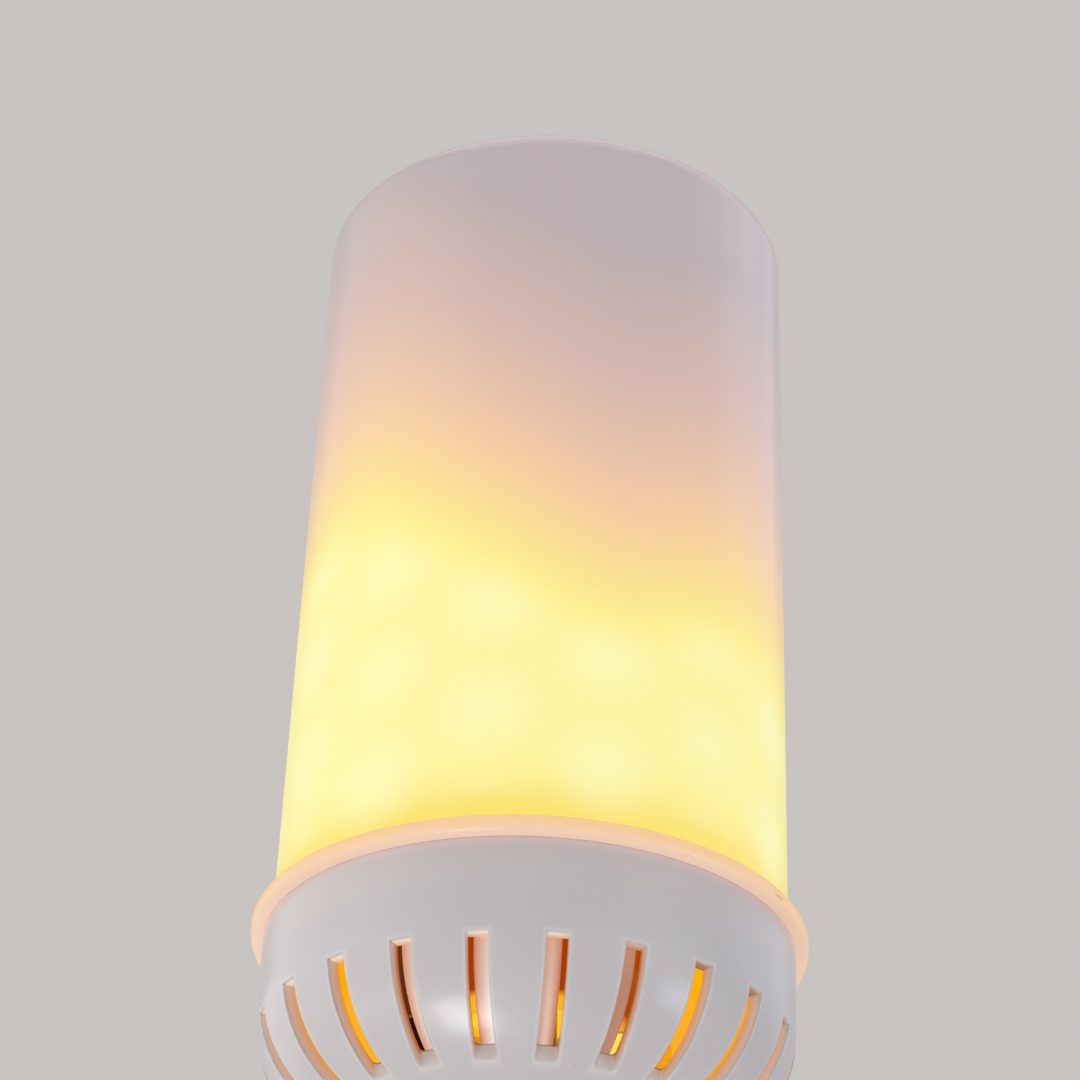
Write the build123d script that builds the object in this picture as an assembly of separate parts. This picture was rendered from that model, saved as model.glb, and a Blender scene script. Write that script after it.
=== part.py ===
from build123d import *
from math import atan2, cos, hypot, pi, radians, sin, sqrt, tan
import os

# Flame effect bulb, in millimetres. The origin is the middle of the end contact's lower face.
# +Z runs up the bulb's axis, and -Y is the side with the front screw pillar.

# Clearances
fit_gap = 0.1
slip_gap = 0.3

# End contact, a rivet with a blind hole for the live wire
contact_radius = 4.8
contact_flat_radius = 3.6
contact_button_height = 1.2
contact_edge_height = 0.5
contact_shank_radius = 1.6
contact_shank_length = 4.8
contact_hole_depth = 2.8

# Insulator between the contact and the screw cap
insulator_nose_radius = 5.6
insulator_cone_height = 3.6
insulator_plug_height = 2.8

# Screw cap, a thin shell with a rolled round thread of the 27 mm size
cap_crest_radius = 13.1
thread_depth = 1.05
thread_pitch = 3.629
thread_start_rise = 2.7
thread_gap_share = 1 / 24
thread_lift_share = 1 / 40
cap_wall = 0.4
cap_length = 20.8
cap_foot_inset = 2.25
cap_rim_width = 1.4
cap_taper_height = 2.8
collar_overhang = 0.05
collar_height = 5.0
collar_step_height = 1.2

# Vented housing: neck, cone, rounded bowl and straight side
housing_radius = 29.6
housing_wall = 1.6
neck_overhang = 1.15
neck_length = 3.8
neck_round = 3.0
bowl_slope = 28.0
bowl_round = 14.5
bowl_side_height = 17.5
spigot_wall = 1.5
spigot_lift = 1.6
bore_round = 2.0

# Vent slots, which run out through the bowl's skin at their foot
vent_count = 22
vent_width = 2.35
vent_height = 11.8
vent_below_rim = 10.7
vent_depth = 8.0
vent_corner = 0.45

# Screw pillars and ribs inside the housing, which stand in the planes of the nearest vents
pillar_inset = 4.5
pillar_depth = 8.2
pillar_round = 1.8
pillar_below_rim = 9.0
pilot_radius = 1.1
pilot_depth = 8.0
rib_thickness = 1.3
rib_depth = 7.5

# Opal cover with its flange and snap spigot
cover_inset = 0.85
cover_draft = 0.95
cover_height = 92.8
cover_wall = 1.4
cover_top_round = 2.6
flange_overhang = 1.4
flange_height = 2.0
flange_lower_round = 0.8
flange_upper_round = 0.6
flange_root_round = 0.4
cover_spigot_length = 4.0
cover_spigot_wall = 1.4
snap_bead_radius = 0.5
snap_bead_drop = 2.4

# Carrier: base plate with two feet, board tube and tube cap
plate_thickness = 2.0
plate_margin = 0.5
plate_hole_radius = 7.0
foot_half_width = 8.6
foot_end_gap = 1.0
lamp_space = 6.4
tube_wall = 1.5
tube_seat_height = 4.0
tube_seat_wall = 1.4
tube_top_drop = 4.3
tube_cap_thickness = 1.2

# Carrier screws
screw_shank_radius = 1.3
screw_length = 7.5
screw_point_length = 1.2
screw_head_radius = 2.4
screw_head_height = 1.7
screw_recess_width = 0.6
screw_recess_length = 2.8
screw_recess_depth = 0.9

# Rolled flexible board with its lamps
flex_thickness = 0.25
flex_below_flange = 3.0
flex_top_margin = 0.8
flex_seam = 0.8
led_columns = 14
led_pitch = 13.0
led_first_height = 1.0
led_column_angle = -7.0
led_width = 2.8
led_length = 3.5
led_height = 0.7
led_window_radius = 1.15
led_window_depth = 0.12
led_seat_gap = 0.02
resistor_length = 2.0
resistor_width = 1.25
resistor_height = 0.55
flex_resistor_rise = 1.4

# Driver board
board_thickness = 1.2
board_offset = 2.0
board_half_width = 16.0
board_round = 1.0

# Parts on the driver board: sizes, then places across the board and down from its top or up from its foot
bulk_can_radius = 4.0
bulk_can_length = 11.0
bulk_can_across = -10.5
bulk_can_drop = 6.0
output_can_radius = 3.15
output_can_length = 8.0
output_can_across = 10.5
output_can_drop = 5.6
choke_radius = 4.0
choke_flange = 1.2
choke_length = 8.0
choke_post_radius = 1.8
choke_winding_depth = 0.6
choke_drop = 6.8
film_length = 7.2
film_width = 3.0
film_height = 6.5
film_across = 10.0
film_drop = 5.0
film_round = 0.5
controller_drop = 3.6
controller_across = -2.0
controller_lead_count = 8
driver_chip_drop = 9.6
driver_chip_across = -6.0
driver_chip_lead_count = 4
chip_body_width = 3.9
chip_body_height = 1.4
chip_lead_pitch = 1.27
chip_lead_width = 0.42
chip_lead_reach = 1.05
chip_lead_thickness = 0.2
chip_standoff = 0.15
diode_length = 4.3
diode_width = 2.6
diode_height = 2.2
diode_tab = 0.5
diode_across = 6.0
diode_drop = 9.8
bridge_length = 4.7
bridge_width = 3.9
bridge_height = 2.4
bridge_across = 4.2
bridge_rise = 16.0
fuse_radius = 1.2
fuse_length = 6.4
fuse_lead_radius = 0.3
fuse_lead_reach = 1.0
fuse_across = -5.2
fuse_rise = 18.5
passive_count = 6
passive_spacing = 2.6
passive_rise = 8.0

# Wires: insulated hook-up leads
mains_wire_radius = 0.65
lamp_wire_radius = 0.5
mains_pad_across = 5.2
mains_pad_rise = 12.2
mains_wire_reach = 5.2
live_wire_rise = 2.0
neutral_drop_radius = 6.0
neutral_exit_angle = 40.0
lamp_pad_across = 3.0
lamp_pad_drop = 1.4
lamp_wire_reach = 4.0
lamp_rise_radius = 7.5
lamp_exit_height = 3.0
wire_run_share = 0.45

# Levels up the axis
cap_bottom = contact_button_height + insulator_cone_height
cap_top = cap_bottom + cap_length
collar_bottom = cap_top - collar_height
plug_bottom = cap_bottom + cap_wall
plug_top = plug_bottom + insulator_plug_height
spigot_bottom = plug_top + spigot_lift
slope_tan = tan(radians(bowl_slope))
vent_step = 360 / vent_count
neck_radius = cap_crest_radius + collar_overhang + neck_overhang
neck_corner = cap_top + neck_length
bowl_corner = neck_corner + (housing_radius - neck_radius) * slope_tan
rim = bowl_corner + bowl_side_height
flange_top = rim + flange_height
cover_top = flange_top + cover_height
pillar_top = rim - pillar_below_rim
plate_top = pillar_top + plate_thickness
tube_top = cover_top - tube_top_drop
flex_bottom = flange_top - flex_below_flange
flex_top = tube_top - flex_top_margin

# Radii that fit inside or over each other
cap_root_radius = cap_crest_radius - thread_depth
cap_bore_radius = cap_root_radius - cap_wall
cap_rim_radius = cap_root_radius - cap_foot_inset
cap_mouth_radius = cap_rim_radius - cap_rim_width
collar_radius = cap_crest_radius + collar_overhang
collar_bore_radius = collar_radius - cap_wall
spigot_radius = cap_bore_radius - fit_gap
bore_radius = spigot_radius - spigot_wall
cavity_radius = housing_radius - housing_wall
pillar_screw_radius = cavity_radius - pillar_inset
flange_radius = housing_radius + flange_overhang
cover_base_radius = housing_radius - cover_inset
cover_top_radius = cover_base_radius - cover_draft
cover_spigot_radius = cavity_radius - fit_gap
cover_spigot_bore = cover_spigot_radius - cover_spigot_wall
tube_radius = cover_top_radius - cover_wall - lamp_space
tube_bore = tube_radius - tube_wall
seat_radius = tube_bore - fit_gap
flex_inner_radius = tube_radius + fit_gap
flex_outer_radius = flex_inner_radius + flex_thickness
board_front = board_offset - board_thickness / 2
board_back = board_offset + board_thickness / 2


def cavity_floor(radius):
    """Height of the housing's inner cone at a radius."""
    inner_line = bowl_corner + housing_wall / cos(radians(bowl_slope))
    return inner_line - (housing_radius - radius) * slope_tan


board_foot = plug_top + fit_gap
board_top = pillar_top - fit_gap
board_foot_half = sqrt(bore_radius**2 - board_back**2) - fit_gap
board_shoulder = cavity_floor(hypot(board_half_width, board_back)) + fit_gap
front_face = Plane((0, board_front, 0), x_dir=(1, 0, 0), z_dir=(0, -1, 0))
back_face = Plane((0, board_back, 0), x_dir=(-1, 0, 0), z_dir=(0, 1, 0))


def turned(outline):
    """A solid of revolution about the bulb's axis from an outline of lines in radius and height."""
    return revolve(Plane.XZ * make_face(outline), Axis.Z)


def turned_polygon(*points):
    """A solid of revolution from straight-sided corner points."""
    return turned(Polyline(*points, close=True))


def ring(outer, inner, low, high):
    """A plain ring about the bulb's axis."""
    return turned_polygon((inner, low), (outer, low), (outer, high), (inner, high))


def disc(radius, low, high):
    """A plain disc about the bulb's axis."""
    return Pos(0, 0, low) * extrude(Circle(radius), high - low)


def snap_ring(section_radius):
    """A round ring at the place where the cover's spigot snaps into the housing."""
    section = Pos(cover_spigot_radius, rim - snap_bead_drop) * Circle(section_radius)
    return revolve(Plane.XZ * section, Axis.Z)


def slab(x_range, y_range, z_range):
    """A box between two corners."""
    size = [high - low for low, high in (x_range, y_range, z_range)]
    middle = [(high + low) / 2 for low, high in (x_range, y_range, z_range)]
    return Pos(*middle) * Box(*size)


def seated_block(length, width, height):
    """A box standing on the local ground plane."""
    return Pos(0, 0, height / 2) * Box(length, width, height)


def around(shape, count, first_angle=0.0):
    """Copies of a shape spaced evenly about the bulb's axis."""
    step = 360 / count
    return [Rot(0, 0, first_angle + step * index) * shape for index in range(count)]


def end_contact():
    hole = mains_wire_radius + fit_gap
    shank_top = contact_button_height + contact_shank_length
    return turned_polygon(
        (0, 0),
        (contact_flat_radius, 0),
        (contact_radius, contact_edge_height),
        (contact_radius, contact_button_height),
        (contact_shank_radius, contact_button_height),
        (contact_shank_radius, shank_top),
        (hole, shank_top),
        (hole, shank_top - contact_hole_depth),
        (0, shank_top - contact_hole_depth),
    )


def cap_insulator():
    hole = contact_shank_radius + fit_gap
    throat = cap_mouth_radius - fit_gap
    plug = cap_rim_radius - cap_wall / 2 - fit_gap
    return turned_polygon(
        (hole, contact_button_height),
        (insulator_nose_radius, contact_button_height),
        (throat, cap_bottom),
        (throat, plug_bottom),
        (plug, plug_bottom),
        (plug, plug_top),
        (hole, plug_top),
    )


def thread_ridge(crest, root):
    """One helical ridge whose crest and root are equal tangent arcs, long enough to run out at both ends."""
    depth = crest - root
    arc = (thread_pitch**2 / 4 + depth**2) / (4 * depth)
    gap = thread_pitch * thread_gap_share
    half = thread_pitch / 2 - gap
    root_centre = root + arc
    flank = ((crest + root) / 2, thread_pitch / 4)
    foot = (root_centre - sqrt(arc**2 - gap**2), half)
    from_flank = atan2(flank[1] - thread_pitch / 2, flank[0] - root_centre) % (2 * pi)
    from_foot = atan2(foot[1] - thread_pitch / 2, foot[0] - root_centre) % (2 * pi)
    middle = (from_flank + from_foot) / 2
    hollow = (root_centre + arc * cos(middle), thread_pitch / 2 + arc * sin(middle))
    back = root - depth / 4

    def lower(point):
        return (point[0], -point[1])

    outline = [
        ThreePointArc(lower(foot), lower(hollow), lower(flank)),
        ThreePointArc(lower(flank), (crest, 0), flank),
        ThreePointArc(flank, hollow, foot),
        Polyline(foot, (back, half), (back, -half), lower(foot)),
    ]
    start = cap_bottom + thread_start_rise
    helix = Helix(thread_pitch, collar_bottom - start, root, center=(0, 0, start))
    profile = Plane.XZ * Pos(0, start) * make_face(outline)
    return sweep(profile, path=helix, is_frenet=True)


def thread_run_out(inset):
    """The tapered foot of the cap, carried on past the thread's crest, which the ridge runs out against."""
    rim_radius = cap_rim_radius - inset
    taper_slope = cap_taper_height / (cap_root_radius - cap_rim_radius)
    clear = cap_crest_radius + cap_wall
    foot = cap_bottom + inset
    return turned_polygon(
        (0, foot),
        (rim_radius, foot),
        (clear, foot + taper_slope * (clear - rim_radius)),
        (clear, collar_bottom),
        (0, collar_bottom),
    )


def screw_cap():
    root_lift = thread_depth * thread_lift_share
    taper_top = cap_bottom + cap_taper_height
    step_bottom = collar_bottom - collar_step_height

    def body(inset, low_radius, low):
        root = cap_root_radius + root_lift - inset
        return turned_polygon(
            (0, low),
            (low_radius, low),
            (root, taper_top),
            (root, step_bottom),
            (collar_radius - inset, collar_bottom),
            (collar_radius - inset, cap_top),
            (0, cap_top),
        )

    outer = body(0, cap_rim_radius, cap_bottom)
    outer += thread_ridge(cap_crest_radius, cap_root_radius) & thread_run_out(0)
    inner = body(cap_wall, cap_rim_radius - cap_wall / 2, plug_bottom)
    inner += thread_ridge(cap_crest_radius - cap_wall, cap_bore_radius) & thread_run_out(cap_wall)
    return outer - inner - disc(cap_mouth_radius, cap_bottom, plug_bottom)


def housing_cavity():
    inner_corner = cavity_floor(cavity_radius)
    bore_corner = cavity_floor(bore_radius)
    side = FilletPolyline(
        (bore_radius, spigot_bottom),
        (bore_radius, bore_corner),
        (cavity_radius, inner_corner),
        (cavity_radius, rim),
        radius=[bore_round, bowl_round - housing_wall],
    )
    close = Polyline((cavity_radius, rim), (0, rim), (0, spigot_bottom), (bore_radius, spigot_bottom))
    return turned([side, close])


def screw_pillars(cavity):
    """A wedge-shaped screw pillar between two ribs, at the front and the back of the housing's cavity."""
    half = rib_thickness / 2
    lean = radians(vent_step / 2)

    def flank(distance):
        return (distance * sin(lean) + half * cos(lean), half * sin(lean) - distance * cos(lean))

    right = [flank(housing_radius), flank(cavity_radius - pillar_depth)]
    left = [(-x, y) for x, y in reversed(right)]
    section = make_face(Polyline(*right, *left, close=True))
    pillar = Pos(0, 0, neck_corner) * extrude(section, pillar_top - neck_corner)
    pillar = fillet(pillar.edges().filter_by(Axis.Z).sort_by(Axis.Y)[-2:], pillar_round)
    pillar -= Pos(0, -pillar_screw_radius, 0) * disc(pilot_radius, pillar_top - pilot_depth, pillar_top)
    rib = slab((-half, half), (-housing_radius, rib_depth - cavity_radius), (neck_corner, pillar_top))
    for side in (-1, 1):
        pillar += Rot(0, 0, side * vent_step * 3 / 2) * rib
    return around(pillar & cavity, 2)


def vent_housing():
    side = FilletPolyline(
        (neck_radius, cap_top),
        (neck_radius, neck_corner),
        (housing_radius, bowl_corner),
        (housing_radius, rim),
        radius=[neck_round, bowl_round],
    )
    close = Polyline((housing_radius, rim), (0, rim), (0, cap_top), (neck_radius, cap_top))
    cavity = housing_cavity()
    pillars = screw_pillars(cavity)
    body = turned([side, close])
    body += disc(collar_bore_radius - fit_gap, collar_bottom, cap_top)
    body += disc(spigot_radius, spigot_bottom, collar_bottom)
    for pillar in pillars:
        cavity -= pillar
    body -= cavity

    vent_top = rim - vent_below_rim
    vent_y = (-housing_radius - vent_depth, vent_depth - housing_radius)
    slot = slab((-vent_width / 2, vent_width / 2), vent_y, (vent_top - vent_height, vent_top))
    floor_edges = slot.edges().filter_by(Axis.Z).sort_by(Axis.Y)[-2:]
    slot = fillet(floor_edges, vent_corner)
    for vent in around(slot, vent_count, vent_step / 2):
        for pillar in pillars:
            vent -= pillar
        body -= vent

    return body - snap_ring(snap_bead_radius + fit_gap)


def diffuser_cover():
    bottom = rim - cover_spigot_length
    outside = FilletPolyline(
        (cover_spigot_radius, rim),
        (flange_radius, rim),
        (flange_radius, flange_top),
        (cover_base_radius, flange_top),
        (cover_top_radius, cover_top),
        (0, cover_top),
        radius=[flange_lower_round, flange_upper_round, flange_root_round, cover_top_round],
    )
    spigot = Polyline((0, cover_top), (0, bottom), (cover_spigot_radius, bottom), (cover_spigot_radius, rim))
    ledge = cover_base_radius - cover_wall - cover_spigot_bore
    inside = FilletPolyline(
        (cover_spigot_bore, rim),
        (cover_base_radius - cover_wall, rim + ledge),
        (cover_top_radius - cover_wall, cover_top - cover_wall),
        (0, cover_top - cover_wall),
        radius=[flange_root_round, cover_top_round - cover_wall],
    )
    mouth = Polyline(
        (0, cover_top - cover_wall), (0, bottom), (cover_spigot_bore, bottom), (cover_spigot_bore, rim)
    )
    return turned([outside, spigot]) + snap_ring(snap_bead_radius) - turned([inside, mouth])


def carrier_base():
    reach = cavity_radius - foot_end_gap
    feet = slab((-foot_half_width, foot_half_width), (-reach, reach), (pillar_top, plate_top))
    plate = feet & disc(reach, pillar_top, plate_top)
    plate += disc(tube_radius + plate_margin, pillar_top, plate_top)
    plate += ring(seat_radius, seat_radius - tube_seat_wall, plate_top, plate_top + tube_seat_height)
    plate -= disc(plate_hole_radius, pillar_top, plate_top)
    hole = Pos(0, -pillar_screw_radius, 0) * disc(screw_shank_radius + fit_gap, pillar_top, plate_top)
    for opening in around(hole, 2):
        plate -= opening
    return plate


def carrier_screws():
    """Two pan-head screws with cross recesses, through the feet and into the pillars."""
    head_top = plate_top + screw_head_height
    tip = plate_top - screw_length
    point = pilot_radius / 2
    core = pilot_radius - fit_gap / 2
    screw = turned_polygon(
        (0, tip),
        (point, tip),
        (core, tip + screw_point_length),
        (core, pillar_top),
        (screw_shank_radius, pillar_top),
        (screw_shank_radius, plate_top),
        (screw_head_radius, plate_top),
        (screw_head_radius, head_top),
        (0, head_top),
    )
    rounded = screw.edges().filter_by(GeomType.CIRCLE).group_by(Axis.Z)[-1]
    screw = fillet(rounded, screw_head_height / 3)
    long_side = screw_recess_length / 2
    short_side = screw_recess_width / 2
    depth = (head_top - screw_recess_depth, head_top)
    screw -= slab((-long_side, long_side), (-short_side, short_side), depth)
    screw -= slab((-short_side, short_side), (-long_side, long_side), depth)
    return Compound(children=around(Pos(0, -pillar_screw_radius, 0) * screw, 2))


def board_tube():
    tube = ring(tube_radius, tube_bore, plate_top, tube_top)
    exit_level = flex_bottom + lamp_exit_height
    hole = Cylinder(lamp_wire_radius + slip_gap, tube_radius, rotation=(90, 0, 0))
    for side in (-1, 1):
        tube -= Pos(side * lamp_pad_across, -tube_radius, exit_level) * hole
    return tube


def tube_cap():
    lid = disc(tube_radius, tube_top, tube_top + tube_cap_thickness)
    lid += ring(seat_radius, seat_radius - tube_seat_wall, tube_top - tube_seat_height, tube_top)
    return lid


def led_flex_board():
    """A flexible board rolled round the tube, with its seam at the back."""
    seam = slab((-flex_seam / 2, flex_seam / 2), (0, 2 * tube_radius), (flex_bottom, flex_top))
    return ring(flex_outer_radius, flex_inner_radius, flex_bottom, flex_top) - seam


def on_flex(shape, angle, height):
    """Seat a part, built upwards, on the rolled board at an angle from the front and a height."""
    seat = Plane((0, -flex_outer_radius - led_seat_gap, 0), x_dir=(1, 0, 0), z_dir=(0, -1, 0))
    return Rot(0, 0, angle) * (Pos(0, 0, height) * (seat * shape))


def flex_angles():
    return [led_column_angle + 360 / led_columns * column for column in range(led_columns)]


def flame_leds():
    """Staggered columns of lamps, each a flat package with a shallow round window."""
    lamp = seated_block(led_width, led_length, led_height)
    window = extrude(Circle(led_window_radius), led_window_depth)
    lamp -= Pos(0, 0, led_height - led_window_depth) * window
    lamps = []
    for column, angle in enumerate(flex_angles()):
        first = flange_top + led_first_height + (column % 2) * led_pitch / 2
        rows = int((flex_top - led_length / 2 - first) / led_pitch) + 1
        for row in range(rows):
            lamps.append(on_flex(lamp, angle, first + row * led_pitch))
    return Compound(children=lamps)


def chip_resistor():
    return seated_block(resistor_length, resistor_width, resistor_height)


def flex_resistors():
    """Series resistors at the foot of every other column, where the stagger leaves room."""
    level = flex_bottom + flex_resistor_rise
    raised_columns = flex_angles()[1::2]
    return Compound(children=[on_flex(chip_resistor(), angle, level) for angle in raised_columns])


def driver_board():
    outline = FilletPolyline(
        (-board_foot_half, board_foot),
        (board_foot_half, board_foot),
        (board_foot_half, board_shoulder),
        (board_half_width, board_shoulder),
        (board_half_width, board_top),
        (-board_half_width, board_top),
        (-board_half_width, board_shoulder),
        (-board_foot_half, board_shoulder),
        radius=board_round,
        close=True,
    )
    return extrude(front_face * make_face(outline), -board_thickness)


def can_capacitor(radius, length):
    """An upright can with a rounded top, a crimped groove near its foot and a cross-shaped vent score."""
    groove = radius / 10
    can = fillet(extrude(Circle(radius), length).edges().group_by(Axis.Z)[-1], groove)
    groove_ring = revolve(Plane.XZ * Pos(radius + groove / 3, 4 * groove) * Circle(groove), Axis.Z)
    can -= groove_ring
    score = Pos(0, 0, length) * Box(radius, groove / 2, groove)
    return can - score - Rot(0, 0, 90) * score


def placed(shape, face, across, height):
    """Stand a part on a face of the driver board."""
    return face * Pos(across, height, 0) * shape


def bulk_capacitor():
    can = can_capacitor(bulk_can_radius, bulk_can_length)
    return placed(can, front_face, bulk_can_across, board_top - bulk_can_drop)


def output_capacitor():
    can = can_capacitor(output_can_radius, output_can_length)
    return placed(can, front_face, output_can_across, board_top - output_can_drop)


def choke_core():
    core = extrude(Circle(choke_radius), choke_flange)
    core += extrude(Circle(choke_post_radius), choke_length)
    core += Pos(0, 0, choke_length - choke_flange) * extrude(Circle(choke_radius), choke_flange)
    return placed(core, front_face, 0, board_top - choke_drop)


def choke_winding():
    height = choke_length - 2 * choke_flange
    outer = Circle(choke_radius - choke_winding_depth)
    inner = Circle(choke_post_radius + fit_gap / 2)
    winding = Pos(0, 0, choke_flange) * extrude(outer - inner, height)
    return placed(winding, front_face, 0, board_top - choke_drop)


def film_capacitor():
    block = seated_block(film_length, film_width, film_height)
    block = fillet(block.edges().filter_by(Axis.Z) + block.edges().group_by(Axis.Z)[-1], film_round)
    return placed(block, back_face, film_across, board_top - film_drop)


def lead_chip(lead_count):
    """A moulded chip with stepped leads along both long sides."""
    length = lead_count * chip_lead_pitch
    body = Pos(0, 0, chip_standoff) * seated_block(length, chip_body_width, chip_body_height)
    body = chamfer(body.edges().group_by(Axis.Z)[-1], chip_standoff)
    shoulder = chip_standoff + chip_body_height / 2
    half = chip_body_width / 2
    bend = half + chip_lead_reach / 2
    width = chip_lead_width / 2
    for index in range(lead_count):
        x = (index - (lead_count - 1) / 2) * chip_lead_pitch
        span = (x - width, x + width)
        top = (shoulder - chip_lead_thickness, shoulder)
        lead = slab(span, (half, bend), top)
        lead += slab(span, (bend - chip_lead_thickness, bend), (0, shoulder))
        lead += slab(span, (bend - chip_lead_thickness, half + chip_lead_reach), (0, chip_lead_thickness))
        body += [lead, Rot(0, 0, 180) * lead]
    return body


def controller_chip():
    chip = lead_chip(controller_lead_count)
    return placed(chip, back_face, controller_across, board_top - controller_drop)


def driver_chip():
    chip = lead_chip(driver_chip_lead_count)
    return placed(chip, back_face, driver_chip_across, board_top - driver_chip_drop)


def freewheel_diode():
    body = seated_block(diode_length, diode_width, diode_height)
    body = chamfer(body.edges().group_by(Axis.Z)[-1], diode_height / 8)
    body += seated_block(diode_length + 2 * diode_tab, diode_width / 2, chip_lead_thickness)
    return placed(body, back_face, diode_across, board_top - diode_drop)


def bridge_rectifier():
    body = seated_block(bridge_length, bridge_width, bridge_height)
    body = chamfer(body.edges().group_by(Axis.Z)[-1], bridge_height / 8)
    tab = seated_block(chip_lead_width * 2, bridge_width + 2 * chip_lead_reach, chip_lead_thickness)
    for side in (-1, 1):
        body += Pos(side * bridge_length / 4, 0, 0) * tab
    return placed(body, front_face, bridge_across, board_foot + bridge_rise)


def fuse_resistor():
    """An axial resistor with both leads bent down to the board."""
    axis_height = fuse_radius + slip_gap
    body = Cylinder(fuse_radius, fuse_length, rotation=(90, 0, 0))
    body = Pos(0, 0, axis_height) * fillet(body.edges(), fuse_radius / 3)
    reach = fuse_length / 2 + fuse_lead_reach
    path = FilletPolyline(
        (0, -reach, 0),
        (0, -reach, axis_height),
        (0, reach, axis_height),
        (0, reach, 0),
        radius=2 * fuse_lead_radius,
    )
    body += sweep((path ^ 0) * Circle(fuse_lead_radius), path=path)
    return placed(body, front_face, fuse_across, board_foot + fuse_rise)


def chip_passives():
    """A row of small chip resistors and capacitors up the back of the board's neck."""
    rows = [board_foot + passive_rise + passive_spacing * index for index in range(passive_count)]
    return Compound(children=[placed(chip_resistor(), back_face, 0, height) for height in rows])


def wire(points, radius):
    """A wire of straight runs joined by tangent arcs, each as large as its two runs allow."""
    corners = [Vector(point) for point in points]
    bends = []
    for before, corner, after in zip(corners, corners[1:], corners[2:]):
        turn = (corner - before).get_angle(after - corner)
        shorter = min((corner - before).length, (after - corner).length)
        bends.append(wire_run_share * shorter / tan(radians(turn / 2)))
    path = FilletPolyline(*corners, radius=bends)
    return sweep((path ^ 0) * Circle(radius), path=path)


def live_wire():
    """From the blind hole in the end contact up to the board's left mains pad."""
    hole_floor = contact_button_height + contact_shank_length - contact_hole_depth
    pad = board_foot + mains_pad_rise
    return wire(
        [
            (0, 0, hole_floor),
            (0, 0, plug_top + live_wire_rise),
            (-mains_pad_across, board_front - mains_wire_reach, pad),
            (-mains_pad_across, board_front, pad),
        ],
        mains_wire_radius,
    )


def neutral_wire():
    """From the board's right mains pad down and out under the spigot to the screw cap's wall."""
    pad = board_foot + mains_pad_rise
    under_spigot = (plug_top + spigot_bottom) / 2
    outwards = Vector(sin(radians(neutral_exit_angle)), -cos(radians(neutral_exit_angle)), 0)
    level = Vector(0, 0, under_spigot)
    return wire(
        [
            (mains_pad_across, board_front, pad),
            (mains_pad_across, board_front - mains_wire_reach, pad),
            outwards * neutral_drop_radius + level,
            outwards * (cap_bore_radius - fit_gap) + level,
        ],
        mains_wire_radius,
    )


def lamp_wire(side):
    """From a pad at the board's top up through the carrier's base and out to the rolled board."""
    across = side * lamp_pad_across
    pad = board_top - lamp_pad_drop
    exit_level = flex_bottom + lamp_exit_height
    inside = sqrt(flex_inner_radius**2 - (lamp_pad_across + lamp_wire_radius) ** 2)
    return wire(
        [
            (across, board_front, pad),
            (across, board_front - lamp_wire_reach, pad),
            (across, -lamp_rise_radius, exit_level),
            (across, -inside, exit_level),
        ],
        lamp_wire_radius,
    )


pieces = {
    "diffuser_cover": diffuser_cover(),
    "vent_housing": vent_housing(),
    "screw_cap": screw_cap(),
    "cap_insulator": cap_insulator(),
    "end_contact": end_contact(),
    "carrier_base": carrier_base(),
    "carrier_screws": carrier_screws(),
    "board_tube": board_tube(),
    "tube_cap": tube_cap(),
    "led_flex_board": led_flex_board(),
    "flame_leds": flame_leds(),
    "flex_resistors": flex_resistors(),
    "driver_board": driver_board(),
    "bulk_capacitor": bulk_capacitor(),
    "output_capacitor": output_capacitor(),
    "choke_core": choke_core(),
    "choke_winding": choke_winding(),
    "film_capacitor": film_capacitor(),
    "controller_chip": controller_chip(),
    "driver_chip": driver_chip(),
    "freewheel_diode": freewheel_diode(),
    "bridge_rectifier": bridge_rectifier(),
    "fuse_resistor": fuse_resistor(),
    "chip_passives": chip_passives(),
    "live_wire": live_wire(),
    "neutral_wire": neutral_wire(),
    "lamp_wire_positive": lamp_wire(-1),
    "lamp_wire_negative": lamp_wire(1),
}

os.makedirs("parts", exist_ok=True)
for name, shape in pieces.items():
    export_step(shape, f"parts/{name}.step")
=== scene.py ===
from math import cos, pi, radians, sin

import bmesh
import bpy
from bpy.props import FloatProperty, FloatVectorProperty, IntProperty, PointerProperty
from mathutils import Matrix, Quaternion, Vector


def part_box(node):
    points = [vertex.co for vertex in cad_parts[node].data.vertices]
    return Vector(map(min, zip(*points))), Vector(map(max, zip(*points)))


bl_info = {
    "name": "Flame effect bulb",
    "version": (1, 0, 0),
    "blender": (4, 5, 0),
    "location": "View3D > Sidebar > Flame bulb",
    "description": "Dresses the solids of a flame effect bulb and lights them",
    "category": "Object",
}

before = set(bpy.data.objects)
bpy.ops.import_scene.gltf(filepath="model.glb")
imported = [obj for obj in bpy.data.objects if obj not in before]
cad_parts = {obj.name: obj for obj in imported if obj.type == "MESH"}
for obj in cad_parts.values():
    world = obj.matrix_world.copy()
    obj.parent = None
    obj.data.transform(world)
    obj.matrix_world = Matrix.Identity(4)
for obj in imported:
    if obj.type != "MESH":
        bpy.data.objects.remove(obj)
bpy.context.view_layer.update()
# The CAD nodes' meshes by name
cad = {name: item.data for name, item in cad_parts.items()}

MM = 0.001
# Length of one wave, and height of one row of bricks, in those textures at a scale of 1
WAVE = 0.314
BRICK_ROW = 0.25
BLACK = "#000000"
TINNED = "#C9C6C0"

housing_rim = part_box("vent_housing")[1].z
flange_height = 2.0 * MM
flange_top = housing_rim + flange_height
flange_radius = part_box("diffuser_cover")[1].x
tube_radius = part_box("board_tube")[1].x
board_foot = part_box("led_flex_board")[0].z
# The cover narrows a little on its way up, so this is its radius half-way up the flame
cover_radius = 28.5 * MM


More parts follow.
